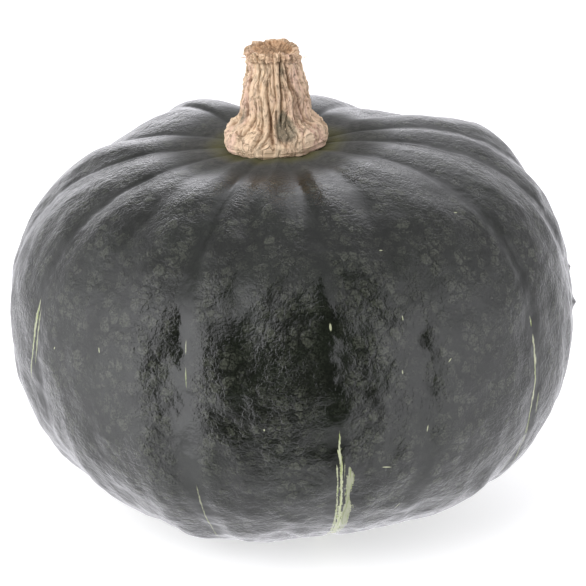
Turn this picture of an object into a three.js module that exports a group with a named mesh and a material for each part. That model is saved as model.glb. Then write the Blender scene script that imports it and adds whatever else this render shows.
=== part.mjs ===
// A buttercup squash: one dark green fruit with irregular lobes, and the corky stem that it was cut from the vine
// with. Millimetres, +Z up, front towards -Y. The origin is where the fruit's axis meets the surface it stands on.

import * as THREE from 'three';

const { cos, sin, abs, max, min, exp, hypot, PI, floor } = Math;
const DEGREE = PI / 180;

// ---- The fruit's driving dimensions --------------------------------------------------------------------------

const EQUATOR_RADIUS = 90.5;
const CROWN_HEIGHT = 64.8; // from the equator up to the stem's end, before the hollow there
const CROWN_POWER = 2.75; // over 2 is squarer than an ellipse: a broad flat shoulder
const KEEL_HEIGHT = 63.5; // from the equator down to the blossom end, before the foot is pressed flat
const KEEL_POWER = 2.2;
const FOOT_FLAT = 3; // how much of the blossom end the ground has pressed flat
const LEAN = -3.5 * DEGREE; // the axis leans towards -X
const STEM_HOLLOW = { depth: 5.2, radius: 36 };
const BLOSSOM_HOLLOW = { depth: 5, radius: 16 };
const SEAT_SHIFT = -1.6; // the stem grows this far beside the axis, along X
const SEAT_RADIUS = 14; // the level scar under the stem
const SEAT_BLEND = 5; // over which the skin runs out level into that scar

// The furrows between the lobes, anticlockwise from the front as seen from above, in degrees and millimetres.
const FURROWS = [
  { azimuth: -166, depth: 2.4, width: 11 },
  { azimuth: -143, depth: 2.4, width: 11 },
  { azimuth: -117, depth: 2.2, width: 12 },
  { azimuth: -90, depth: 2.2, width: 13 },
  { azimuth: -61.5, depth: 1.9, width: 12 },
  { azimuth: -42, depth: 0.7, width: 10 },
  { azimuth: -21, depth: 1.4, width: 10 },
  { azimuth: -9, depth: 0.7, width: 8 },
  { azimuth: 8.5, depth: 1.3, width: 11 },
  { azimuth: 26, depth: 1.0, width: 9 },
  { azimuth: 56.5, depth: 1.9, width: 12 },
  { azimuth: 83, depth: 2.2, width: 12 },
  { azimuth: 104, depth: 2.4, width: 10 },
  { azimuth: 129, depth: 1.0, width: 11 },
  { azimuth: 157, depth: 2.8, width: 13 },
].map((f) => ({ azimuth: f.azimuth * DEGREE, depth: f.depth, width: f.width * DEGREE }));

// Where lobes swell out or were held back: centre and reach in degrees, height in millimetres.
const SWELLS = [
  { azimuth: 117, latitude: 31, height: 2.4, across: 10, along: 10 },
  { azimuth: 142, latitude: 46, height: -4.6, across: 12, along: 12 },
  { azimuth: 168, latitude: 46, height: 1.2, across: 10, along: 12 },
  { azimuth: -146, latitude: 46, height: 3.4, across: 10, along: 14 },
  { azimuth: -97, latitude: 12, height: 1.2, across: 16, along: 10 },
  { azimuth: 94, latitude: 16, height: -0.7, across: 14, along: 12 },
  { azimuth: 60, latitude: -32, height: 1.6, across: 16, along: 12 },
  { azimuth: -64, latitude: -20, height: -1.6, across: 14, along: 14 },
  { azimuth: -30, latitude: -40, height: 1.2, across: 12, along: 12 },
  { azimuth: 8, latitude: -44, height: -1.2, across: 16, along: 12 },
];

const COLUMNS_PER_LOBE = 6;
const FRUIT_ROWS = 50;

// ---- The stem's driving dimensions ---------------------------------------------------------------------------

const STEM_GAP = 0.3; // the air between the stem's scar and the fruit's
const COLLAR_RADIUS = 16.4;
const NECK_RADIUS = 8.9;
const STEM_HEIGHT = 32;
const STEM_SWAY = 0.03; // how far the stem grows back towards +X for each millimetre of height
const CUT_SLOPE = { from: 26, fall: 0.22 }; // above this height the cut end falls this much for each millimetre of +X

// Half the stem's outline, from the middle of its underside to the middle of its cut end: radius and height.
const STEM_OUTLINE = [
  [0, 0],
  [13.5, 0],
  [15.6, 1.2],
  [COLLAR_RADIUS, 3.4],
  [15.9, 5.8],
  [14.0, 7.6],
  [12.3, 10],
  [11.0, 14],
  [10.0, 18],
  [9.2, 23],
  [NECK_RADIUS, 26],
  [9.3, 29],
  [8.6, 31],
  [6.2, STEM_HEIGHT],
  [3, STEM_HEIGHT - 0.4],
  [0, STEM_HEIGHT - 0.6],
];
const STEM_COLUMNS = 48;
const STEM_STEP = 1.6; // the outline is rounded and then cut into pieces about this long

// The stem's flutes: how far they press in, and where round it they lie, in degrees.
const FLUTES = [-160, -126, -92, -56, -13, 17, 52, 88, 124, 160].map((azimuth) => azimuth * DEGREE);
const FLUTE_DEPTH = 1.1;
const FLUTE_WIDTH = 15 * DEGREE;

// ---- Helpers -------------------------------------------------------------------------------------------------

/** The angle from b to a, between half a turn either way. */
const turnBetween = (a, b) => {
  const turn = (a - b) % (2 * PI);
  return turn > PI ? turn - 2 * PI : turn < -PI ? turn + 2 * PI : turn;
};

/** A bell curve: 1 at 0, and near 0 from twice the reach on. */
const bell = (offset, reach) => exp(-((offset / reach) ** 2));

/** A furrow's cross-section: 1 along its line, falling to 0 at its width, sharp below and round above. */
const groove = (offset, width) => (1 - min(1, abs(offset) / width)) ** 2;

const smoothstep = (value, low, high) => THREE.MathUtils.smoothstep(value, low, high);

/** Moves each vertex of a geometry to where place(vertex) puts it. */
function sculpt(geometry, place) {
  const position = geometry.getAttribute('position');
  const vertex = new THREE.Vector3();
  for (let i = 0; i < position.count; i++) {
    place(vertex.fromBufferAttribute(position, i));
    position.setXYZ(i, vertex.x, vertex.y, vertex.z);
  }
  geometry.computeVertexNormals();
  return geometry;
}

/** The direction round the +Z axis, anticlockwise from the front. */
const azimuthOf = (vertex) => Math.atan2(vertex.x, -vertex.y);

// ---- The fruit -----------------------------------------------------------------------------------------------

/** Spreads evenly spaced columns so that one runs along every furrow, with the same number across each lobe. */
function columnAzimuth(even) {
  const lobes = FURROWS.length;
  const along = ((((even / (2 * PI)) % 1) + 1) % 1) * lobes;
  const lobe = floor(along) % lobes;
  const from = FURROWS[lobe].azimuth;
  const to = lobe + 1 < lobes ? FURROWS[lobe + 1].azimuth : FURROWS[0].azimuth + 2 * PI;
  return from + (to - from) * (along - floor(along));
}

/** The plain meridian, an ellipse-like curve, as distance from the fruit's middle. */
function meridian(latitude) {
  const height = latitude >= 0 ? CROWN_HEIGHT : KEEL_HEIGHT;
  const power = latitude >= 0 ? CROWN_POWER : KEEL_POWER;
  return ((abs(cos(latitude)) / EQUATOR_RADIUS) ** power + (abs(sin(latitude)) / height) ** power) ** (-1 / power);
}

/** How deep a furrow is along its length: most on the shoulder, least round the equator, none at the ends. */
function furrowShare(latitude) {
  const degrees = latitude / DEGREE;
  return cos(latitude) ** 0.8 * (0.4 + 1.1 * bell(degrees - 50, 22) + 0.6 * bell(degrees + 62, 20));
}

/** How far the lobes stand out from the plain shape. */
function relief(azimuth, latitude) {
  const share = furrowShare(latitude);
  let height = 0;
  for (const furrow of FURROWS) {
    height -= furrow.depth * share * groove(turnBetween(azimuth, furrow.azimuth), furrow.width);
  }
  for (const swell of SWELLS) {
    const across = turnBetween(azimuth, swell.azimuth * DEGREE) / DEGREE;
    height += swell.height * bell(across, swell.across) * bell(latitude / DEGREE - swell.latitude, swell.along);
  }
  return height;
}

/** The fruit's middle, above the floor. */
const FRUIT_MIDDLE = KEEL_HEIGHT - FOOT_FLAT;
const CROWN_LEVEL = CROWN_HEIGHT - STEM_HOLLOW.depth;

function fruitGeometry() {
  const ball = new THREE.SphereGeometry(1, FURROWS.length * COLUMNS_PER_LOBE, FRUIT_ROWS).rotateX(PI / 2);
  const upAxis = new THREE.Vector3(0, 1, 0);
  return sculpt(ball, (vertex) => {
    const latitude = Math.asin(max(-1, min(1, vertex.z)));
    const azimuth = columnAzimuth(azimuthOf(vertex));
    const reach = meridian(latitude) + relief(azimuth, latitude);
    const radius = reach * cos(latitude);
    let height = reach * sin(latitude);
    if (latitude > 0) {
      const fromStem = hypot(radius * sin(azimuth) - SEAT_SHIFT, radius * cos(azimuth));
      height -= STEM_HOLLOW.depth * bell(fromStem, STEM_HOLLOW.radius);
      height += (CROWN_LEVEL - height) * (1 - smoothstep(fromStem, SEAT_RADIUS, SEAT_RADIUS + SEAT_BLEND));
    } else {
      height += BLOSSOM_HOLLOW.depth * bell(radius, BLOSSOM_HOLLOW.radius);
    }
    vertex.set(radius * sin(azimuth), -radius * cos(azimuth), height).applyAxisAngle(upAxis, LEAN);
    vertex.z = max(0, vertex.z + FRUIT_MIDDLE);
  });
}

// ---- The stem ------------------------------------------------------------------------------------------------

/** The stem's outline with its corners rounded, as points on one smooth curve. */
function stemOutline() {
  const corners = STEM_OUTLINE.map(([radius, height]) => new THREE.Vector2(radius, height));
  const curve = new THREE.SplineCurve(corners.slice(1, -1));
  const rounded = curve.getSpacedPoints(Math.round(curve.getLength() / STEM_STEP));
  return [corners[0], ...rounded, corners.at(-1)];
}

/** How much of a flute shows at a height: none under the collar and none on the cut end. */
const fluteShare = (height) => smoothstep(height, 3, 12) * (1 - 0.6 * smoothstep(height, 26, 31));

function stemGeometry() {
  const plain = new THREE.LatheGeometry(stemOutline(), STEM_COLUMNS).rotateX(PI / 2);
  return sculpt(plain, (vertex) => {
    const radius = hypot(vertex.x, vertex.y);
    const azimuth = azimuthOf(vertex);
    let pressed = 0;
    for (const flute of FLUTES) {
      pressed += FLUTE_DEPTH * groove(turnBetween(azimuth, flute), FLUTE_WIDTH);
    }
    const share = radius > 1 ? 1 - (pressed * fluteShare(vertex.z) * min(1, radius / NECK_RADIUS)) / radius : 1;
    vertex.x *= share;
    vertex.y *= share;
    vertex.z -= CUT_SLOPE.fall * max(0, vertex.x) * smoothstep(vertex.z, CUT_SLOPE.from, STEM_HEIGHT);
    vertex.x += vertex.z * STEM_SWAY;
  });
}

// ---- The assembly --------------------------------------------------------------------------------------------

const rind = new THREE.MeshStandardMaterial({ color: 0x2c342f, roughness: 0.35, metalness: 0 });
const cork = new THREE.MeshStandardMaterial({ color: 0xc9ab87, roughness: 0.9, metalness: 0 });

const fruit = new THREE.Mesh(fruitGeometry(), rind);
fruit.name = 'fruit';

const stem = new THREE.Mesh(stemGeometry(), cork);
stem.name = 'stem';
stem.position.set(SEAT_SHIFT, 0, CROWN_LEVEL + STEM_GAP);

const growth = new THREE.Group();
growth.position.z = FRUIT_MIDDLE;
growth.rotation.y = LEAN;
growth.add(stem);

const squash = new THREE.Group();
squash.add(fruit, growth);

export default squash;
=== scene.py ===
"""A buttercup squash, dressed: its waxy mottled skin, its corky cut stem, and a pale studio round them.

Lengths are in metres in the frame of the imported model, with +Z up and the front towards -Y. The growth's own
frame has its origin in the fruit's middle and its Z along the fruit's axis. Patterns and sculpted forms are
worked out in it, in millimetres and degrees. An azimuth is 0 in front, at -Y, and rises to the right.
"""

import logging
import math
from collections import defaultdict
from dataclasses import dataclass, field
from enum import Enum
from functools import reduce
from typing import Any, Callable, Union

import bpy
from mathutils import Matrix, Vector, noise


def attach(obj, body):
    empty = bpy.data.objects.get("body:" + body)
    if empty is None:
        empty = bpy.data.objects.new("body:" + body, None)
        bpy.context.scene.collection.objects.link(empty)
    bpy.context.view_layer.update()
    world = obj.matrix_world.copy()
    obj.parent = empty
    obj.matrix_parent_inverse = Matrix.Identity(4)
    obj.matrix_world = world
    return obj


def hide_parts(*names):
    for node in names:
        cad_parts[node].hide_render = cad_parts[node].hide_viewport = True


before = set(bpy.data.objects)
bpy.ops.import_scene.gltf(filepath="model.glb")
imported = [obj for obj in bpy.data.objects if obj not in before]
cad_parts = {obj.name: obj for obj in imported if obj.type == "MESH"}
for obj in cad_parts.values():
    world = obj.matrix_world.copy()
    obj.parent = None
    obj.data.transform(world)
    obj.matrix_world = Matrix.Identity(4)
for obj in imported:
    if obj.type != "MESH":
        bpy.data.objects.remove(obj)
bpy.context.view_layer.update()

BODY = "root"
MM = 0.001
log = logging.getLogger("squash")

Colour = tuple[float, float, float]
Place = tuple[float, float, float]
Stops = tuple[tuple[float, float], ...]
Setting = Union["Signal", float, tuple[float, ...]]
Sockets = dict[int | str, Setting]


# ---- Plain helpers -------------------------------------------------------------------------------


def smoothstep(value: float, low: float, high: float) -> float:
    """Rises smoothly from 0 at low to 1 at high."""
    share = min(1.0, max(0.0, (value - low) / (high - low)))
    return share * share * (3 - 2 * share)


def bell(offset: float, reach: float) -> float:
    """A bell curve: 1 at 0, and near 0 from twice the reach on."""
    return math.exp(-((offset / reach) ** 2))


def turn_between(a: float, b: float) -> float:
    """The turn from b to a, in degrees, between half a turn either way."""
    return (a - b + 180) % 360 - 180


def creased(point: Vector) -> float:
    """Noise folded at nought: round swells with sharp creases between them, from 0 to about 0.7."""
    return abs(noise.noise(point))


def choose(*pieces: bpy.types.Object) -> None:
    """Selects objects and makes the first of them active.

    Args:
        *pieces: The objects, which are selected alone.
    """
    bpy.ops.object.select_all(action="DESELECT")
    for piece in pieces:
        piece.select_set(True)
    bpy.context.view_layer.objects.active = pieces[0]


def apply_subdivision(piece: bpy.types.Object, levels: int) -> None:
    """Rounds a piece with the Subdivision Surface modifier and applies it.

    Args:
        piece: The mesh object.
        levels: How many times each face is split in four.
    """
    choose(piece)
    modifier = piece.modifiers.new("rounding", "SUBSURF")
    modifier.levels = levels
    modifier.render_levels = levels
    bpy.ops.object.modifier_apply(modifier=modifier.name)


def save_values(piece: bpy.types.Object, name: str, values: list[float]) -> None:
    """Keeps one number for each vertex, which a material reads by its name."""
    attribute = piece.data.attributes.new(name, "FLOAT", "POINT")
    attribute.data.foreach_set("value", values)


def save_places(piece: bpy.types.Object, name: str, places: list[Place]) -> None:
    """Keeps one vector for each vertex, which a material reads by its name."""
    attribute = piece.data.attributes.new(name, "FLOAT_VECTOR", "POINT")
    attribute.data.foreach_set("vector", [part for place in places for part in place])


def sculpt(piece: bpy.types.Object, push: Callable[[Vector, Vector], Vector]) -> None:
    """Moves every vertex of a piece.

    Args:
        piece: The mesh object, whose object sits at the origin.
        push: Takes a vertex's place and its outward normal, and returns its new place.
    """
    mesh = piece.data
    mesh.update()
    places = [push(vertex.co.copy(), vertex.normal.copy()) for vertex in mesh.vertices]
    for vertex, place in zip(mesh.vertices, places):
        vertex.co = place
    mesh.update()


def coat(piece: bpy.types.Object, material: bpy.types.Material) -> None:
    """Smooths a piece's shading and gives it one material.

    Args:
        piece: The mesh object.
        material: What takes the place of any material that it has.
    """
    choose(piece)
    bpy.ops.object.shade_smooth()
    piece.data.materials.clear()
    piece.data.materials.append(material)


# ---- Shader expressions --------------------------------------------------------------------------


class Cell(Enum):
    """What a cell pattern gives: the node's feature and its output."""

    SHADE = ("F1", "Color")
    REACH = ("F1", "Distance")
    BORDER = ("DISTANCE_TO_EDGE", "Distance")


class Signal:
    """A value in a material's node tree. Each Python operator on it adds a Math node."""

    def __init__(self, graph: "Graph", socket: bpy.types.NodeSocket) -> None:
        """Wraps one output socket of a graph."""
        self.graph = graph
        self.socket = socket

    def math(self, operation: str, *values: Setting) -> "Signal":
        """Adds a Math node of that operation on these values."""
        sockets = dict(enumerate(values))
        return self.graph.value("ShaderNodeMath", {"operation": operation}, sockets)

    def __add__(self, other: Setting) -> "Signal":
        """self + other."""
        return self.math("ADD", self, other)

    def __radd__(self, other: Setting) -> "Signal":
        """other + self."""
        return self.math("ADD", other, self)

    def __sub__(self, other: Setting) -> "Signal":
        """self - other."""
        return self.math("SUBTRACT", self, other)

    def __rsub__(self, other: Setting) -> "Signal":
        """other - self."""
        return self.math("SUBTRACT", other, self)

    def __mul__(self, other: Setting) -> "Signal":
        """self * other."""
        return self.math("MULTIPLY", self, other)

    def __rmul__(self, other: Setting) -> "Signal":
        """other * self."""
        return self.math("MULTIPLY", other, self)

    def __truediv__(self, other: Setting) -> "Signal":
        """self / other."""
        return self.math("DIVIDE", self, other)

    def __abs__(self) -> "Signal":
        """The value without its sign."""
        return self.math("ABSOLUTE", self)

    def most(self, other: Setting) -> "Signal":
        """The larger of self and other."""
        return self.math("MAXIMUM", self, other)

    def least(self, other: Setting) -> "Signal":
        """The smaller of self and other."""
        return self.math("MINIMUM", self, other)

    def angle(self, across: Setting) -> "Signal":
        """The angle whose tangent is self over across, in degrees, all the way round."""
        return self.math("ARCTAN2", self, across) * math.degrees(1)

    def rise(self, low: float, high: float) -> "Signal":
        """Rises smoothly from 0 where self is low to 1 where it is high."""
        return self._slope(low, high, 0.0, 1.0)

    def fall(self, low: float, high: float) -> "Signal":
        """Falls smoothly from 1 where self is low to 0 where it is high."""
        return self._slope(low, high, 1.0, 0.0)

    def _slope(self, low: float, high: float, start: float, end: float) -> "Signal":
        """Runs smoothly from start where self is low to end where it is high."""
        settings = {"interpolation_type": "SMOOTHSTEP"}
        return self.graph.value("ShaderNodeMapRange", settings, {0: self, 1: low, 2: high, 3: start, 4: end})


class Graph:
    """The node tree of a material or of the world."""

    # A Mix node has sockets of each name for every type of data. These are the ones for colours.
    MIX_FIRST = 6
    MIX_SECOND = 7
    MIX_RESULT = 2

    def __init__(self, owner: bpy.types.Material | bpy.types.World) -> None:
        """Empties the node tree of its owner.

        Args:
            owner: The material or the world.
        """
        owner.use_nodes = True
        self.owner = owner
        self.tree = owner.node_tree
        self.tree.nodes.clear()

    def node(self, kind: str, settings: dict[str, Any], sockets: Sockets) -> bpy.types.Node:
        """Adds any node.

        Args:
            kind: The node's type.
            settings: Its properties, and "stops" for a ramp's (place, brightness) pairs.
            sockets: What its inputs hold or are linked to, by number or name.

        Returns:
            The node.
        """
        node = self.tree.nodes.new(kind)
        for name, setting in settings.items():
            if name == "stops":
                self._set_stops(node.color_ramp, setting)
            else:
                setattr(node, name, setting)
        for key, value in sockets.items():
            if isinstance(value, Signal):
                self.tree.links.new(value.socket, node.inputs[key])
            else:
                node.inputs[key].default_value = value
        return node

    @staticmethod
    def _set_stops(ramp: bpy.types.ColorRamp, stops: Stops) -> None:
        """Gives a ramp grey stops.

        Args:
            ramp: The ramp, with fewer stops than it gets.
            stops: (place, brightness) pairs, in rising order of place.
        """
        while len(ramp.elements) < len(stops):
            ramp.elements.new(1.0)
        for element, (place, brightness) in zip(ramp.elements, stops):
            element.position = place
            element.color = (brightness, brightness, brightness, 1.0)

    def value(self, kind: str, settings: dict[str, Any], sockets: Sockets, output: int | str = 0) -> Signal:
        """Adds any node and returns one of its outputs."""
        return Signal(self, self.node(kind, settings, sockets).outputs[output])

    def own_place(self, growth: "Growth") -> Signal:
        """Finds the point on the surface in the growth's own frame.

        Args:
            growth: How the squash stands.

        Returns:
            The point, in millimetres.
        """
        place = self.value("ShaderNodeTexCoord", {}, {}, "Object")
        to_own = growth.to_own()
        location = tuple(to_own.to_translation() / MM)
        rotation = tuple(to_own.to_euler())
        sockets = {"Vector": place, "Location": location, "Rotation": rotation, "Scale": (1 / MM,) * 3}
        return self.value("ShaderNodeMapping", {}, sockets)

    def split(self, vector: Signal) -> tuple[Signal, Signal, Signal]:
        """A vector's three parts."""
        outputs = self.node("ShaderNodeSeparateXYZ", {}, {0: vector}).outputs
        return tuple(Signal(self, socket) for socket in outputs)

    def join(self, x: Setting, y: Setting, z: Setting) -> Signal:
        """A vector of three parts."""
        return self.value("ShaderNodeCombineXYZ", {}, {0: x, 1: y, 2: z})

    def vector(self, operation: str, *values: Setting, output: str = "Vector") -> Signal:
        """Adds a Vector Math node of that operation on these vectors."""
        return self.value("ShaderNodeVectorMath", {"operation": operation}, dict(enumerate(values)), output)

    def noise(self, place: Signal, grain: float, detail: float = 2.0, rough: float = 0.5) -> Signal:
        """Soft noise from 0 to 1, whose grain is that long in the place's unit."""
        sockets = {"Vector": place, "Scale": 1 / grain, "Detail": detail, "Roughness": rough}
        return self.value("ShaderNodeTexNoise", {}, sockets, "Fac")

    def stray(self, place: Signal, grain: float, reach: float) -> Signal:
        """Moves a place about at random.

        Args:
            place: The place.
            grain: How far apart the moves differ, in the place's unit.
            reach: About twice the longest move, in the same unit.

        Returns:
            The moved place.
        """
        drift = self.value("ShaderNodeTexNoise", {}, {"Vector": place, "Scale": 1 / grain}, "Color")
        drift = self.vector("MULTIPLY", self.vector("SUBTRACT", drift, (0.5,) * 3), (2 * reach,) * 3)
        return self.vector("ADD", place, drift)

    def cells(self, place: Signal, grain: float, part: Cell) -> Signal:
        """Irregular cells whose size is about the grain.

        Args:
            place: Where to read them.
            grain: Their size in the place's unit.
            part: Each cell's own shade, how far its middle is, or how far its border is, both in grains.

        Returns:
            That part.
        """
        feature, output = part.value
        sockets = {"Vector": place, "Scale": 1 / grain}
        read = self.value("ShaderNodeTexVoronoi", {"feature": feature}, sockets, output)
        return self.split(read)[0] if part is Cell.SHADE else read

    def attribute(self, name: str, output: str = "Fac") -> Signal:
        """What is kept on the mesh's vertices under that name: a number, or with "Vector" a vector."""
        return self.value("ShaderNodeAttribute", {"attribute_name": name}, {}, output)

    def curve(self, place: Signal, stops: Stops) -> Signal:
        """Reads a line through stops.

        Args:
            place: Where to read it.
            stops: (place, value) pairs, in rising order of place.

        Returns:
            The value there, level beyond both ends.
        """
        places = [stop[0] for stop in stops]
        values = [stop[1] for stop in stops]
        first, last = places[0], places[-1]
        low, high = min(values), max(values)
        span = max(high - low, 1e-6)
        scaled = [((p - first) / (last - first), (v - low) / span) for p, v in stops]
        share = self.value("ShaderNodeValToRGB", {"stops": scaled}, {0: (place - first) / (last - first)})
        return share * span + low

    def mix(self, share: Setting, first: Signal | Colour, second: Signal | Colour) -> Signal:
        """Lays one colour over another.

        Args:
            share: How much of the second colour shows, from 0 to 1.
            first: The colour below.
            second: The colour on top.

        Returns:
            The mixed colour.
        """
        sockets = {0: share}
        for key, colour in ((self.MIX_FIRST, first), (self.MIX_SECOND, second)):
            sockets[key] = colour if isinstance(colour, Signal) else (*colour, 1.0)
        return self.value("ShaderNodeMix", {"data_type": "RGBA"}, sockets, self.MIX_RESULT)

    def bump(self, height: Signal, distance: float, strength: float, under: Signal | None = None) -> Signal:
        """Turns a height into a normal.

        Args:
            height: The height, from 0 to about 1.
            distance: How far 1 stands proud, in metres.
            strength: How much of the tilt counts, from 0 to 1.
            under: The normal that it is laid over, if not the surface's own.

        Returns:
            The normal.
        """
        sockets = {"Height": height, "Distance": distance, "Strength": strength}
        if under is not None:
            sockets["Normal"] = under
        return self.value("ShaderNodeBump", {}, sockets)

    def surface(self, **sockets: Setting) -> bpy.types.Material:
        """Ends the tree in one Principled shader.

        Args:
            **sockets: The shader's inputs, with an underscore for each space in their names.

        Returns:
            The finished material.
        """
        named = {key.replace("_", " "): value for key, value in sockets.items()}
        shader = self.value("ShaderNodeBsdfPrincipled", {}, named)
        self.node("ShaderNodeOutputMaterial", {}, {"Surface": shader})
        return self.owner


# ---- Where everything grows ----------------------------------------------------------------------


@dataclass(frozen=True)
class Growth:
    """How the squash stands, in millimetres and degrees: the frame that its skin and its stem grew in.

    Attributes:
        middle: How high the fruit's middle is above the floor.
        lean: How far the fruit's axis is turned about Y. Below 0 it leans to the left.
        seat: The middle of the stem's seat, in the growth's own frame.
        furrows: The azimuth and the depth of each furrow round the fruit.
    """

    middle: float = 60.5
    lean: float = -3.5
    seat: Place = (-1.6, 0.0, 59.6)
    furrows: Stops = (
        (-166, 2.4), (-143, 2.4), (-117, 2.2), (-90, 2.2), (-61.5, 1.9), (-42, 0.7), (-21, 1.4), (-9, 0.7),
        (8.5, 1.3), (26, 1.0), (56.5, 1.9), (83, 2.2), (104, 2.4), (129, 1.0), (157, 2.8),
    )

    def to_world(self) -> Matrix:
        """From the growth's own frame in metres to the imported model's."""
        tilt = Matrix.Rotation(math.radians(self.lean), 4, "Y")
        return Matrix.Translation((0, 0, self.middle * MM)) @ tilt

    def to_own(self) -> Matrix:
        """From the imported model's frame to the growth's own, in metres."""
        return self.to_world().inverted()

    def nearest_furrow(self, azimuth: float) -> tuple[float, float]:
        """How far the nearest furrow is, in degrees, and how deep it runs there, in millimetres."""
        return min((abs(turn_between(azimuth, at)), depth) for at, depth in self.furrows)


# ---- The fruit -----------------------------------------------------------------------------------


@dataclass(frozen=True)
class Streak:
    """A pale streak down the skin, in degrees and millimetres.

    Attributes:
        azimuth: Where it lies round the fruit.
        paleness: How much of its colour shows, from 0 to 1.
        path: (latitude, half of its width, how far it strays to the right) stops, from the bottom up.
    """

    azimuth: float
    paleness: float
    path: tuple[tuple[float, float, float], ...]


@dataclass(frozen=True)
class Nick:
    """A short pale nick in the skin, in degrees and millimetres.

    Attributes:
        azimuth: Where it lies round the fruit.
        latitude: How high up the skin it lies.
        length: Its length.
        width: Its width.
        turn: How far it is turned from upright.
    """

    azimuth: float
    latitude: float
    length: float
    width: float
    turn: float = 0.0


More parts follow.
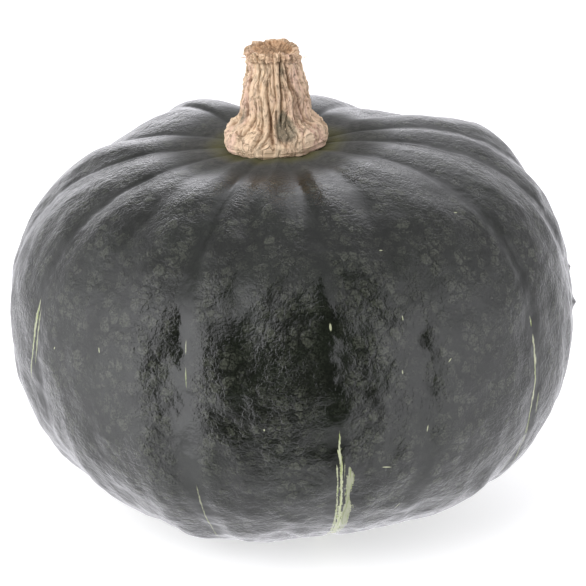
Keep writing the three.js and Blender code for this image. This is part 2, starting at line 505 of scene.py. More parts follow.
@dataclass(frozen=True)
class RindFinish:
    """The skin: nearly black green, mottled in paler cells, waxy, with pale streaks where furrows run.

    Attributes:
        deep: The darkest skin.
        green: The skin in its lighter clouds.
        fleck: The paler cells.
        bloom: The grey bloom over the shoulders, towards the stem.
        olive: The ring of skin next to the stem.
        pale: A streak or a nick.
        fresh: The greener parts of a streak.
        scar: The corky scar underneath.
        cell: A cell's size, in millimetres.
        ripple: The height of the softest waves in its relief, in millimetres.
        grain: The height of its cells, wrinkles and grain, in millimetres.
        shine: The roughness of clean skin.
        streaks: The pale streaks.
        nicks: The pale nicks.
    """

    deep: Colour = (0.0052, 0.0055, 0.0043)
    green: Colour = (0.0100, 0.0126, 0.0083)
    fleck: Colour = (0.052, 0.056, 0.042)
    bloom: Colour = (0.110, 0.108, 0.098)
    pale: Colour = (0.43, 0.45, 0.29)
    fresh: Colour = (0.28, 0.34, 0.11)
    olive: Colour = (0.085, 0.083, 0.028)
    scar: Colour = (0.36, 0.25, 0.13)
    cell: float = 3.6
    ripple: float = 0.5
    grain: float = 0.1
    shine: float = 0.065
    streaks: tuple[Streak, ...] = (
        Streak(8.7, 1.0, (
            (-52, 0, 0.2), (-40, 0.8, 0.4), (-30, 0.95, 0.3), (-22, 0.6, 0.2), (-16, 0.45, 0.3),
            (-9, 0.45, 0.1), (-4.6, 0.5, -0.2), (-2.2, 0.3, 0), (0.2, 0, 0.1),
        )),
        Streak(8.7, 0.85, (
            (-30, 0.5, -0.9), (-18, 0.3, -0.9), (-12, 0.32, -1), (-8.5, 0.32, -1.2), (-7.2, 0, -1.3),
        )),
        Streak(8.7, 0.6, ((-13, 0, 1.1), (-10, 0.2, 1.1), (-8, 0.22, 1.2), (-7, 0, 1.1))),
        Streak(8.7, 0.62, (
            (-42, 0.4, 1.3), (-32, 1.3, 1.6), (-24, 1.4, 2), (-20, 1.3, 2.6), (-18.4, 0.8, 2.5),
            (-16, 0.75, 2.2), (-13, 1.3, 2.8), (-11, 1.25, 3.1), (-9.4, 0.7, 2.8), (-8.2, 0, 2.6),
        )),
        Streak(56.2, 1.0, (
            (-12, 0.2, 0), (-8, 0.5, 0), (-4, 0.45, 0.1), (2, 0.6, 0), (5.5, 0.6, 0.2),
            (7, 0, 0.1), (8, 0, 0), (9.2, 0.55, 0), (10.8, 0, -0.1),
        )),
        Streak(56.2, 0.55, ((-34, 0, 6), (-27, 0.28, 4.3), (-18, 0.3, 1.2), (-10, 0.3, -0.2), (-8, 0, -0.4))),
        Streak(58.3, 0.5, ((-12, 0, 0.2), (-10.5, 0.35, 0.2), (-7.5, 0.3, -0.2), (-6, 0, -0.3))),
        Streak(-62, 0.8, (
            (-1, 0, -6.2), (2, 0.45, -5), (8, 0.55, -2.6), (12, 0.7, -1.2), (16, 0.6, 0), (19, 0, 0.4),
        )),
        Streak(-61, 0.7, ((3, 0, -3.6), (7, 0.4, -1.9), (12, 0.45, -0.8), (15.5, 0.3, 0.1), (17, 0, 0.4))),
        Streak(-20.4, 0.6, (
            (7, 0, 0.4), (9, 0.2, 0.4), (11.5, 0.25, 0.3), (13, 0, 0.1),
            (14.5, 0, 0), (16, 0.35, -0.1), (18.5, 0, -0.1),
        )),
        Streak(-20.6, 0.5, (
            (-40, 0, -3.6), (-33, 0.3, -2.6), (-22, 0.3, -0.7), (-14, 0.25, 0.3), (-11, 0, 0.4),
        )),
    )
    nicks: tuple[Nick, ...] = (
        Nick(8.6, 19.7, 2.3, 0.75), Nick(23.4, 19.2, 1.6, 0.4), Nick(21.8, 9.2, 1.3, 0.4),
        Nick(26.6, -3.6, 2.4, 0.35, -8), Nick(32.0, 9.2, 1.5, 0.4, -50), Nick(18.0, -10.3, 3.2, 0.45, 76),
        Nick(22.1, -22.9, 2.8, 0.3, -35), Nick(-5.4, 0.7, 0.8, 0.5), Nick(-53.8, 10.2, 1.0, 0.45, -30),
        Nick(-39.9, 13.2, 1.7, 0.45, 15), Nick(48.4, 35.7, 1.7, 0.5, 70), Nick(23.5, 32.9, 1.3, 0.4, 80),
    )

    def material(self, growth: Growth) -> bpy.types.Material:
        """Builds the skin's material.

        Args:
            growth: How the squash stands.

        Returns:
            The material.
        """
        graph = Graph(bpy.data.materials.new("waxy_green_skin"))
        own = graph.own_place(growth)
        x, y, z = graph.split(own)
        radius = graph.vector("LENGTH", graph.join(x, y, 0.0), output="Value")
        latitude = z.angle(radius)
        azimuth = x.angle(0.0 - y)
        colour, pale, rise = self._mottle(graph, own)
        streak = self._streak_share(graph, azimuth, latitude, radius)
        nick = self._nick_share(graph, azimuth, latitude)
        grain = graph.noise(own, 1.8)
        from_seat = graph.vector("LENGTH", graph.vector("SUBTRACT", own, growth.seat), output="Value")
        colour = graph.mix(from_seat.fall(20.0, 42.0) * 0.8 * grain, colour, self.bloom)
        colour = graph.mix(from_seat.fall(17.5, 25.0) * (0.55 + 0.5 * grain), colour, self.olive)
        tint = graph.noise(graph.join(azimuth * 2.6, latitude * 0.3, 0.0), 1.0, 2.0)
        colour = graph.mix(streak, colour, graph.mix(tint.rise(0.46, 0.66), self.pale, self.fresh))
        colour = graph.mix(nick * 0.8, colour, self.pale)
        underneath = latitude.fall(-60.0, -50.0)
        colour = graph.mix(underneath * radius.fall(6.5, 8.5), colour, self.scar)
        dull = 0.45 * from_seat.fall(24.0, 50.0) + 0.35 * from_seat.fall(24.0, 42.0)
        roughness = self.shine + 0.07 * pale + 0.25 * streak.most(nick) + dull
        return graph.surface(
            Base_Color=colour,
            Roughness=roughness,
            IOR=1.5,
            Normal=self._relief(graph, own, rise, latitude),
        )

    def _mottle(self, graph: Graph, own: Signal) -> tuple[Signal, Signal, Signal]:
        """Mottles the skin in irregular cells, which are weaker in bare furrows.

        Args:
            graph: The skin's nodes.
            own: The point in the growth's own frame.

        Returns:
            The skin's colour with its cells, how pale they are, and how far they stand out.
        """
        strayed = graph.stray(graph.stray(own, 7.0, 2.6), 1.4, 1.1)
        patch = graph.noise(graph.stray(own, 4.0, 2.4), 8.5, 2.0).rise(0.34, 0.6)
        shade = graph.cells(strayed, self.cell, Cell.SHADE)
        seam = graph.cells(strayed, self.cell, Cell.BORDER)
        ragged = 0.16 * (graph.noise(own, 0.8, 2.0) - 0.5)
        reach = graph.cells(strayed, self.cell, Cell.REACH) + ragged
        grit = graph.noise(own, 0.62, 3.0, 0.75).rise(0.38, 0.64)
        lobe = graph.attribute("lobe")
        island = (0.3 + 0.7 * shade) * reach.fall(0.42, 0.64)
        island = island * (seam + ragged).rise(0.0, 0.14) * (0.2 + 0.8 * patch)
        pale = (island * (0.25 + 1.15 * grit) + 0.1 * grit) * (0.12 + 0.88 * lobe)
        cloud = graph.noise(own, 12.0, 4.0).rise(0.38, 0.64)
        base = graph.mix(((0.4 + 0.6 * cloud) * (0.3 + grit)).least(1.0), self.deep, self.green)
        rise = (0.45 * reach.fall(0.1, 0.7) + 0.55 * seam.rise(0.0, 0.2)) * (0.3 + 0.7 * lobe)
        return graph.mix(pale.least(1.0), base, self.fleck), pale, rise * (0.5 + 0.5 * patch)

    def _relief(self, graph: Graph, own: Signal, rise: Signal, latitude: Signal) -> Signal:
        """Gives the skin its finest relief: soft waves, cells, level wrinkles and a fine grain.

        Args:
            graph: The skin's nodes.
            own: The point in the growth's own frame.
            rise: How far the cells stand out there, from 0 to 1.
            latitude: The point's latitude.

        Returns:
            The normal.
        """
        lobe = 0.25 + 0.75 * graph.attribute("lobe")
        patch = graph.noise(own, 13.0, 1.0).rise(0.4, 0.6)
        fine = graph.noise(own, 0.85, 3.0, 0.8)
        crease = abs(graph.noise(graph.stray(own, 1.6, 0.6), 2.0, 2.0) - 0.5).rise(0.0, 0.11)
        flattened = graph.vector("MULTIPLY", graph.stray(own, 3.0, 1.6), (0.25, 0.25, 1.0))
        wrinkle = abs(graph.noise(flattened, 1.5, 2.0) - 0.5) * 2.0 * patch
        waves = graph.noise(own, 4.4, 1.0) * (1.0 - 0.5 * latitude.rise(20.0, 55.0))
        rippled = graph.bump(waves, self.ripple * MM, 0.8)
        height = (rise * 0.7 + fine * 1.25 + wrinkle * 1.25 + crease * (0.35 + 0.4 * patch)) * lobe
        return graph.bump(height, self.grain * MM, 1.0, rippled)

    def _streak_share(self, graph: Graph, azimuth: Signal, latitude: Signal, radius: Signal) -> Signal:
        """Lays the streaks down the skin, each torn into strands.

        Args:
            graph: The skin's nodes.
            azimuth: The point's azimuth.
            latitude: The point's latitude.
            radius: How far the point is from the fruit's axis.

        Returns:
            How much of a streak shows, from 0 to 1.
        """
        around = azimuth * radius * math.radians(1)
        strand = graph.noise(graph.join(around, latitude * 0.14, 0.0), 0.45, 2.0) - 0.5
        bite = graph.noise(graph.join(around, latitude * 1.2, 5.0), 0.7, 3.0, 0.7) - 0.5
        shares = []
        for streak in self.streaks:
            across = (azimuth - streak.azimuth) * radius * math.radians(1)
            half = graph.curve(latitude, tuple((at, width) for at, width, _ in streak.path))
            aside = graph.curve(latitude, tuple((at, stray) for at, _, stray in streak.path))
            inside = half - abs(across - aside) + (strand * 2.6 + bite * 2.2) * half.least(0.7)
            shares.append(inside.rise(0.0, 0.22) * half.rise(0.02, 0.1) * streak.paleness)
        return reduce(Signal.most, shares)

    def _nick_share(self, graph: Graph, azimuth: Signal, latitude: Signal) -> Signal:
        """Lays the nicks on the skin, each an ellipse with a soft edge.

        Args:
            graph: The skin's nodes.
            azimuth: The point's azimuth.
            latitude: The point's latitude.

        Returns:
            How much of a nick shows, from 0 to 1.
        """
        skin = graph.join(azimuth, latitude, 0.0)
        mm_per_degree = 1.5
        shares = []
        for nick in self.nicks:
            sockets = {
                "Vector": skin,
                "Location": (nick.azimuth, nick.latitude, 0.0),
                "Rotation": (0.0, 0.0, math.radians(nick.turn)),
                "Scale": (nick.width / mm_per_degree / 2, nick.length / mm_per_degree / 2, 1.0),
            }
            place = graph.value("ShaderNodeMapping", {"vector_type": "TEXTURE"}, sockets)
            shares.append(graph.vector("LENGTH", place, output="Value").fall(0.6, 1.15))
        return reduce(Signal.most, shares)


@dataclass(frozen=True)
class Fold:
    """A long gentle swell or dent down the skin.

    Attributes:
        azimuth: Where it lies round the fruit, in degrees.
        half: Half of its width, in degrees.
        rise: How far it stands out, in millimetres, or below 0 how deep it is.
        low: The latitude where it begins, in degrees.
        high: The latitude where it ends, in degrees.
    """

    azimuth: float
    half: float
    rise: float
    low: float
    high: float

    def rise_at(self, azimuth: float, latitude: float) -> float:
        """Measures the fold at a point of the skin. It fades out round both ends.

        Args:
            azimuth: The point's azimuth.
            latitude: The point's latitude.

        Returns:
            How far the skin stands out there, in millimetres.
        """
        inner, outer = 4, 8
        ends = smoothstep(latitude, self.low - outer, self.low + inner)
        ends *= 1 - smoothstep(latitude, self.high - inner, self.high + outer)
        return self.rise * bell(turn_between(azimuth, self.azimuth), self.half) * ends


@dataclass(frozen=True)
class Wart:
    """A small round wart on the skin.

    Attributes:
        azimuth: Where it lies round the fruit, in degrees.
        latitude: How high up the skin it lies, in degrees.
        rise: How far it stands out, in millimetres.
        half: Half of its width, in degrees.
    """

    azimuth: float
    latitude: float
    rise: float = 1.3
    half: float = 0.95

    def rise_at(self, azimuth: float, latitude: float) -> float:
        """How far it stands out at a point of the skin, in millimetres."""
        across = turn_between(azimuth, self.azimuth) * math.cos(math.radians(latitude))
        return self.rise * bell(math.hypot(across, latitude - self.latitude), self.half)


@dataclass
class Fruit:
    """The fruit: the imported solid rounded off, with the finer swells and creases of its skin.

    Attributes:
        growth: How the squash stands.
        finish: Its skin.
        wave: The height of the long waves, in millimetres, as all heights here.
        lump: The height of the lumps.
        pebble: The height of the pebbles.
        pleat: The height of the pleats that run down the skin.
        rib: The height of the finer ribs between them.
        valley: How much deeper the deep furrows are cut.
        foot_fade: The height above the floor from which the skin is sculpted in full.
        folds: The single swells and dents.
        warts: The single warts.
        lobes: For each vertex, 0 on the bare skin of a furrow and 1 on a lobe.
    """

    growth: Growth
    finish: RindFinish = field(default_factory=RindFinish)
    wave: float = 0.45
    lump: float = 0.66
    pebble: float = 0.17
    pleat: float = 0.7
    rib: float = 0.5
    valley: float = 0.3
    foot_fade: float = 5.0
    folds: tuple[Fold, ...] = (
        Fold(-30, 4.5, 1.15, -38, 40), Fold(-11.5, 5.0, -0.75, 20, 45), Fold(-9, 4.0, -0.35, 14, 45),
        Fold(-17.5, 2.8, 0.35, -36, 36), Fold(31, 3.4, 0.55, -14, 16), Fold(26, 2.2, -0.35, -14, 16),
        Fold(8.5, 3.2, 1.0, -12, 30), Fold(-29, 6.5, 0.9, 46, 74), Fold(-3, 5.0, 0.6, 48, 74),
        Fold(15, 4.0, 0.8, 44, 64), Fold(40, 7.0, 1.0, 36, 74), Fold(68, 3.0, 0.4, -40, 40),
        Fold(76, 2.4, 0.45, -45, 25), Fold(-72, 3.0, 0.3, -30, 20), Fold(-52, 2.6, 0.4, -50, 0),
        Fold(44, 7.0, 1.4, -44, -24), Fold(-12, 6.0, 0.8, -60, -44), Fold(-31, 7.0, -0.7, -55, -40),
        Fold(112, 5.0, -0.9, 18, 26), Fold(117, 6.0, 0.7, 30, 38), Fold(132, 11.0, -1.5, 40, 60),
        Fold(-108, 6.0, 0.9, 30, 44), Fold(-146, 12.0, 1.2, 38, 60),
    )
    warts: tuple[Wart, ...] = (
        Wart(93, 7), Wart(91, 0), Wart(84, 24, 0.8), Wart(98, -24, 0.9), Wart(-47, 4, 0.6), Wart(36, -8, 0.5),
        Wart(140, 12, 0.9), Wart(-150, -6, 0.8), Wart(-108, 18, 0.7),
    )
    lobes: list[float] = field(default_factory=list)

    def build(self) -> bpy.types.Object:
        """Makes the fruit and dresses it.

        Returns:
            The finished piece.
        """
        piece = self._copy_solid()
        apply_subdivision(piece, 2)
        sculpt(piece, self._swell)
        save_values(piece, "lobe", self.lobes)
        coat(piece, self.finish.material(self.growth))
        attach(piece, BODY)
        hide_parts("fruit")
        return piece

    def _copy_solid(self) -> bpy.types.Object:
        """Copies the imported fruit, merges its loose triangles and pairs them into quads.

        Returns:
            The copy.
        """
        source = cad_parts["fruit"]
        piece = bpy.data.objects.new("squash_fruit", source.data.copy())
        bpy.context.scene.collection.objects.link(piece)
        choose(piece)
        bpy.ops.object.mode_set(mode="EDIT")
        bpy.ops.mesh.select_all(action="SELECT")
        bpy.ops.mesh.remove_doubles(threshold=1e-6)
        bpy.ops.mesh.tris_convert_to_quads(face_threshold=math.pi, shape_threshold=math.pi)
        bpy.ops.object.mode_set(mode="OBJECT")
        return piece

    def _swell(self, place: Vector, normal: Vector) -> Vector:
        """Sculpts the skin at one vertex, and notes how bare it is there.

        Args:
            place: Where the vertex is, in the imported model's frame.
            normal: The skin's normal there.

        Returns:
            Its new place, never below the floor.
        """
        own = (self.growth.to_own() @ place) / MM
        radius = math.hypot(own.x, own.y)
        latitude = math.degrees(math.atan2(own.z, radius))
        azimuth = math.degrees(math.atan2(own.x, -own.y))
        gap, depth = self.growth.nearest_furrow(azimuth)
        mm_aside = gap * max(0.3, own.length * 0.011)
        self.lobes.append(1 - min(1.0, depth / 1.4) * (1 - smoothstep(mm_aside, 1.0, 3.6)))
        rise = self._relief(own, azimuth, latitude) - self.valley * max(0.0, depth - 1) * bell(gap, 1.5)
        rise += self._blossom_scar(radius, latitude)
        place += normal * rise * MM * smoothstep(place.z / MM, 0.0, self.foot_fade)
        place.z = max(0.0, place.z)
        return place

    def _relief(self, own: Vector, azimuth: float, latitude: float) -> float:
        """Adds up the swells and creases at a point.

        Args:
            own: The point in the growth's own frame, in millimetres.
            azimuth: Its azimuth.
            latitude: Its latitude.

        Returns:
            How far the skin stands out there, in millimetres.
        """
        angle = math.radians(azimuth)
        ring = Vector((math.sin(angle), -math.cos(angle), 0.0))
        waves = self.wave * noise.noise(own / 27)
        lumps = self.lump * noise.noise(own / 9 + Vector((7, 0, 0)))
        pebbles = self.pebble * noise.noise(own / 4 + Vector((0, 9, 0)))
        shoulder = bell(latitude - 60, 24)
        under = bell(latitude + 42, 26)
        pleats = self.pleat * noise.noise(ring * 3.2 + Vector((0, 0, latitude / 45)))
        ribs = self.rib * noise.noise(ring * 13 + Vector((0, 4, latitude / 22)))
        folds = sum(fold.rise_at(azimuth, latitude) for fold in self.folds)
        warts = sum(wart.rise_at(azimuth, latitude) for wart in self.warts)
        crown = 1 - smoothstep(latitude, 26, 60)
        fine = (lumps + pebbles) * (0.25 + 0.75 * crown) + pleats * (0.45 + 0.4 * shoulder)
        fine += ribs * (0.1 + 0.45 * crown + 0.8 * under)
        return waves + fine + folds + warts

    @staticmethod
    def _blossom_scar(radius: float, latitude: float) -> float:
        """The rise of the small scar in the hollow underneath, in millimetres: a rim round a dimple."""
        scar = 0.9 * bell(radius - 7, 1.3) - 0.7 * bell(radius, 4.5) + 0.8 * bell(radius, 1.4)
        return 0.0 if latitude > -60 else scar


# ---- The stem ------------------------------------------------------------------------------------


@dataclass(frozen=True)
class Crack:
    """A deep crack down the stem, in degrees and millimetres.

    Attributes:
        low_azimuth: Where its lower end lies round the stem.
        high_azimuth: Where its upper end lies round the stem.
        low: The height of its lower end.
        high: The height of its upper end.
        depth: How deep it is.
        half: Half of its width.
        radius: The stem's mean radius.
    """

    low_azimuth: float
    high_azimuth: float
    low: float
    high: float
    depth: float
    half: float
    radius: float = 10.0

    def depth_at(self, azimuth: float, height: float) -> float:
        """Measures the crack at a point of the stem.

        Args:
            azimuth: Where the point is round the stem.
            height: How high it is.

        Returns:
            How deep the crack is there, in millimetres.
        """
        share = smoothstep(height, self.low, self.high)
        middle = self.low_azimuth + (self.high_azimuth - self.low_azimuth) * share
        across = math.radians(turn_between(azimuth, middle)) * self.radius
        ends = smoothstep(height, self.low - 1.5, self.low + 1.5)
        ends *= 1 - smoothstep(height, self.high, self.high + 2)
        return self.depth * math.exp(-abs(across / self.half) ** 1.4) * ends


@dataclass(frozen=True)
class CorkFinish:
    """Dry cork.

    Attributes:
        light: The painted highlight on the crests of the bark, and some paler fibres.
        tan: The bark between them.
        rosy: The flushed sides.
        crack: The painted shade in its cracks, splits, creases and pits, and under the rim.
        moss: The grey-green left in its hollows.
        rim: The browner cut.
        cream: Some pale strands, and the dots in the moss.
    """

    light: Colour = (0.82, 0.62, 0.425)
    tan: Colour = (0.72, 0.515, 0.345)
    rosy: Colour = (0.80, 0.56, 0.45)
    crack: Colour = (0.25, 0.15, 0.08)
    moss: Colour = (0.19, 0.168, 0.115)
    rim: Colour = (0.57, 0.35, 0.195)
    cream: Colour = (0.84, 0.67, 0.47)

    def material(self) -> bpy.types.Material:
        """Builds the stem's material.

        Returns:
            The material.
        """
        graph = Graph(bpy.data.materials.new("dry_cork"))
        grain = graph.attribute("grain", "Vector")
        along = graph.vector("MULTIPLY", grain, (1.0, 1.0, 0.14))
        fibre = graph.noise(along, 0.45, 4.0, 0.65)
        cloud = graph.noise(grain, 5.0, 3.0)
        speck = graph.noise(grain, 0.7, 3.0)
        slant = graph.stray(graph.vector("MULTIPLY", grain, (1.0, 1.0, 0.16)), 1.6, 0.5)
        split = abs(graph.noise(slant, 0.9, 3.0, 0.6) - 0.5).fall(0.0, 0.05)
        split = split * graph.noise(grain, 2.2).rise(0.42, 0.56)
        # Painted highlight: the bark is painted paler on its crests, and some fibres are paler of their own.
        crest = graph.attribute("crest") * 0.75 + 0.5 * fibre.rise(0.35, 0.65)
        colour = graph.mix(crest.least(1.0), self.tan, self.light)
        tone = graph.noise(graph.vector("MULTIPLY", grain, (1.0, 1.0, 0.1)), 1.3, 1.0)
        colour = graph.mix(tone.rise(0.5, 0.62) * 0.6, colour, self.cream)
        flush = graph.attribute("flush") * (0.3 + tone.fall(0.4, 0.55)) * 0.7 + cloud.rise(0.5, 0.7) * 0.3
        colour = graph.mix(flush.least(0.8), colour, self.rosy)
        colour = graph.mix((graph.attribute("rim") * (0.2 + 1.2 * speck)).least(1.0), colour, self.rim)
        # Painted shade: the cracks, fine splits, creases and pits are darkened, and so is the neck under the
        # rim.
        dark = graph.attribute("crack").most(split * 0.7)
        colour = graph.mix((dark * (0.8 + 0.6 * (speck - 0.5))).least(1.0), colour, self.crack)
        moss = graph.attribute("moss")
        colour = graph.mix((moss * (0.65 + 0.9 * (speck - 0.3))).least(0.9), colour, self.moss)
        dot = graph.cells(grain, 0.9, Cell.REACH).fall(0.14, 0.24)
        dot = dot * graph.cells(grain, 0.9, Cell.SHADE).rise(0.5, 0.6)
        colour = graph.mix(dot * moss.rise(0.2, 0.5), colour, self.cream)
        grainy = graph.noise(graph.vector("MULTIPLY", grain, (1.0, 1.0, 0.3)), 0.3, 2.0)
        normal = graph.bump(fibre * 0.8 + speck * 0.5 + grainy * 0.5 - split, 0.3 * MM, 1.0)
        return graph.surface(Base_Color=colour, Roughness=0.88, IOR=1.4, Normal=normal)


@dataclass(frozen=True)
class Fibre:
    """A loose fibre at the torn rim, in degrees and millimetres.

    Attributes:
        azimuth: Where it springs from, round the stem.
        height: How high it springs from.
        length: Its length.
        aside: How far it turns aside from straight outwards.
        lift: How far it points up.
        radius: How far from the stem's middle it springs from.
        thickness: Half of how thick it is at its root.
    """

    azimuth: float
    height: float
    length: float
    aside: float
    lift: float
    radius: float = 8.6
    thickness: float = 0.2

    def build(self) -> bpy.types.Object:
        """Makes the fibre as a thin cone in the stem's own place.

        Returns:
            The cone.
        """
        root = math.radians(self.azimuth)
        way = math.radians(self.azimuth + self.aside)
        lift = math.radians(self.lift)
        aim = Vector((math.sin(way) * math.cos(lift), -math.cos(way) * math.cos(lift), math.sin(lift)))
        start = Vector((math.sin(root) * self.radius, -math.cos(root) * self.radius, self.height))
        bpy.ops.object.select_all(action="DESELECT")
        bpy.ops.mesh.primitive_cone_add(
            vertices=6,
            radius1=self.thickness * MM,
            radius2=0.3 * self.thickness * MM,
            depth=self.length * MM,
            location=(start + aim * self.length / 2) * MM,
            rotation=aim.to_track_quat("Z", "Y").to_euler(),
        )
        bpy.ops.object.transform_apply(location=True, rotation=True, scale=True)
        return bpy.context.object


@dataclass
class Stem:
    """The cut stem: a flared collar, strands with cracks between them, and a ragged cut end.

    Attributes:
        growth: How the squash stands.
        finish: Its cork.
        columns: How many faces the blank has round it.
        outline: The blank's (radius, height) stops, from the middle of its base to the middle of its cut end.
        sway: How far it leans to the right for each millimetre of height.
        sink: How far its base is pressed into the seat.
        top: The height of the cut end's rim.
        droop: How much lower the rim is on its right side.
        droop_azimuth: Where the rim is lowest.
        hollow_azimuth: Where the large hollow in the bark lies, above the collar.
        cracks: The deep cracks.
        fibres: The loose fibres.
        marks: For each vertex, shares from 0 to 1 that the cork's colours read.
        grain: For each vertex, its place as unrolled along the strands, in millimetres.
    """

    growth: Growth
    finish: CorkFinish = field(default_factory=CorkFinish)
    columns: int = 44
    outline: Stops = (
        (3, 0), (9, 0), (13.2, 0), (15, 0.6), (15.9, 1.7), (16.2, 3.2), (15.9, 5.2), (15.1, 7), (13.8, 8.4),
        (12.3, 9.3), (11.4, 10.4), (11, 12), (10.8, 14.4), (10.4, 17.2), (9.8, 20.2), (9.1, 23), (8.6, 25.8),
        (8.3, 28.6), (8.7, 30), (9.2, 31.3), (8.8, 32.6), (7.8, 33), (6.6, 32.2), (4.2, 31.6), (1.6, 31.4),
    )
    sway: float = 0.03
    sink: float = 0.4
    top: float = 33.0
    droop: float = 1.9
    droop_azimuth: float = 80.0
    hollow_azimuth: float = 15.0
    cracks: tuple[Crack, ...] = (
        Crack(11, 16, 11, 32, 1.5, 0.42), Crack(-5, -12, 5.5, 23, 1.2, 0.4),
        Crack(-58, -54, 12, 33.5, 1.3, 0.5), Crack(58, 26, 7.5, 31, 1.1, 0.42),
        Crack(-20, -24, 5, 18, 0.9, 0.36), Crack(-46, -34, 5, 17, 0.9, 0.36),
        Crack(36, 32, 9, 24, 0.8, 0.36), Crack(2, 0, 17, 33, 0.8, 0.34),
        Crack(-30, -33, 20, 33, 0.8, 0.34), Crack(-13, -6, 5, 12, 0.9, 0.36),
        Crack(4, 2, 5.5, 14, 0.9, 0.36), Crack(46, 20, 12, 30, 0.7, 0.34),
        Crack(-88, -92, 8, 32, 1.5, 0.7), Crack(86, 88, 7, 31, 1.5, 0.7),
        Crack(122, 126, 8, 32, 1.6, 0.7), Crack(158, 161, 8, 31, 1.3, 0.6),
        Crack(-124, -127, 9, 32, 1.5, 0.7), Crack(-158, -162, 8, 31, 1.5, 0.6),
    )
    fibres: tuple[Fibre, ...] = (
        Fibre(68, 29.6, 4.6, 22, 6), Fibre(74, 30.2, 3.0, 30, -22), Fibre(-66, 31.0, 2.6, -25, -6),
        Fibre(-60, 31.8, 2.0, -15, 28), Fibre(-25, 32.6, 1.6, -60, 50), Fibre(18, 32.7, 1.5, 40, 58),
        Fibre(44, 31.8, 2.2, 45, 38), Fibre(150, 32.0, 3.0, 20, 15), Fibre(-140, 32.0, 2.4, -30, 30),
    )
    marks: dict[str, list[float]] = field(default_factory=lambda: defaultdict(list))
    grain: list[Place] = field(default_factory=list)

    def build(self) -> bpy.types.Object:
        """Makes the stem and dresses it.

        Returns:
            The finished piece.
        """
        piece = self._turn_blank()
        apply_subdivision(piece, 3)
        sculpt(piece, self._carve)
        for name, values in self.marks.items():
            save_values(piece, name, values)
        save_places(piece, "grain", self.grain)
        choose(piece, *(fibre.build() for fibre in self.fibres))
        bpy.ops.object.join()
        piece.data.transform(self._placed())
        coat(piece, self.finish.material())
        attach(piece, BODY)
        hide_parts("stem")
        return piece

    def _placed(self) -> Matrix:
        """From the stem's own place, with its base at the origin, to where it grows."""
        x, y, z = self.growth.seat
        return self.growth.to_world() @ Matrix.Translation((x * MM, y * MM, (z - self.sink) * MM))

    def _turn_blank(self) -> bpy.types.Object:
        """Extrudes a disc up the stem's outline, ring by ring.

        Returns:
            The blank, closed at both ends.
        """
        bpy.ops.object.select_all(action="DESELECT")
        radius, height = self.outline[0]
        bpy.ops.mesh.primitive_circle_add(vertices=self.columns, radius=radius * MM, fill_type="NGON")
        piece = bpy.context.object
        piece.name = "squash_stem"
        bpy.ops.object.mode_set(mode="EDIT")
        for next_radius, next_height in self.outline[1:]:
            lift = {"value": (0.0, 0.0, (next_height - height) * MM)}
            bpy.ops.mesh.extrude_region_move(TRANSFORM_OT_translate=lift)
            grow = next_radius / radius
            bpy.ops.transform.resize(value=(grow, grow, 1.0), center_override=(0.0, 0.0, next_height * MM))
            radius, height = next_radius, next_height
        bpy.ops.mesh.select_all(action="SELECT")
        bpy.ops.mesh.normals_make_consistent(inside=False)
        bpy.ops.object.mode_set(mode="OBJECT")
        return piece

    def _carve(self, place: Vector, normal: Vector) -> Vector:
        """Carves bark, cracks and the torn end at one vertex, and notes what its colour needs.

        Args:
            place: Where the vertex is on the blank.
            normal: The blank's normal there.

        Returns:
            Its new place.
        """
        own = place / MM
        height = own.z
        radius = max(0.1, math.hypot(own.x, own.y))
        azimuth = math.degrees(math.atan2(own.x, -own.y))
        wander = 9 * noise.noise(Vector((own.x / 8, own.y / 8, height / 9)))
        wander += 3.5 * noise.noise(Vector((own.x / 3, own.y / 3, height / 4)))
        angle = math.radians(azimuth + wander)
        ring = Vector((math.sin(angle), -math.cos(angle), 0.0))
        self.grain.append((ring.x * 10, ring.y * 10, height - radius))
        bark, crack, dark = self._bark(ring, azimuth + 0.5 * wander, height, height - radius)
        side = smoothstep(radius, 12.0, 14.5) if height < 3 else 1.0
        plateau = smoothstep(height, 30.0, 31.0) * (1 - smoothstep(radius, 6.6, 7.8))
        torn = smoothstep(height, 29.4, 30.8)
        rope = creased(ring * 2.5 + Vector((1, 7, height / 0.7)))
        pith = 0.7 * noise.noise(own / 1.6) + 0.45 * noise.noise(own / 0.7) + (rope - 0.2) * (1 - plateau)
        rise = (bark - crack) * side * (1 - plateau) * (1 - 0.3 * torn) + pith * (plateau + 0.8 * torn)
        moved = own + normal * rise
        low_side = bell(turn_between(azimuth, self.droop_azimuth), 48) * smoothstep(height, 28.5, 31.0)
        moved.z -= self.droop * low_side
        moved.x *= 1 - 0.13 * low_side
        rim = self.top - self.droop * low_side + 0.5 * noise.noise(own / 2.2)
        moved.z = min(max(0.0, moved.z), rim)
        moved.x += moved.z * self.sway
        # Painted shade: the low spots of the torn end are darkened.
        pit = (1 - smoothstep(pith, -0.35, 0.05)) * max(0.8 * plateau, 0.7 * torn)
        # Painted shade on the bark's cracks and creases, and in the torn end's low spots.
        self.marks["crack"].append(max(dark * side * (1 - plateau), pit))
        # Painted highlight: the higher the bark stands, the paler it is painted.
        self.marks["crest"].append(smoothstep(bark, -0.5, 0.35))
        self.marks["flush"].append(bell(turn_between(azimuth, 52), 26) + bell(turn_between(azimuth, -66), 14))
        self.marks["moss"].append(self._moss(azimuth, height))
        self.marks["rim"].append(max(plateau, 0.4 * torn))
        return moved * MM

    def _moss(self, azimuth: float, height: float) -> float:
        """Finds the grey-green left in the bark: in the large hollow, on the left and in a slit near the top.

        Args:
            azimuth: Where the point is round the stem, in degrees.
            height: How high it is above the seat, in millimetres.

        Returns:
            How much of it shows there, from 0 to 1.
        """
        hollow = bell(turn_between(azimuth, self.hollow_azimuth), 16 - 11 * smoothstep(height, 8, 17))
        hollow *= bell(height - 10.5, 4.4)
        left = bell(turn_between(azimuth, -68), 9) * bell(height - 12, 2.8)
        slit = bell(turn_between(azimuth, 18), 5) * bell(height - 27, 2.5)
        return min(1.0, smoothstep(hollow, 0.2, 0.55) + 1.1 * left + 0.8 * slit)

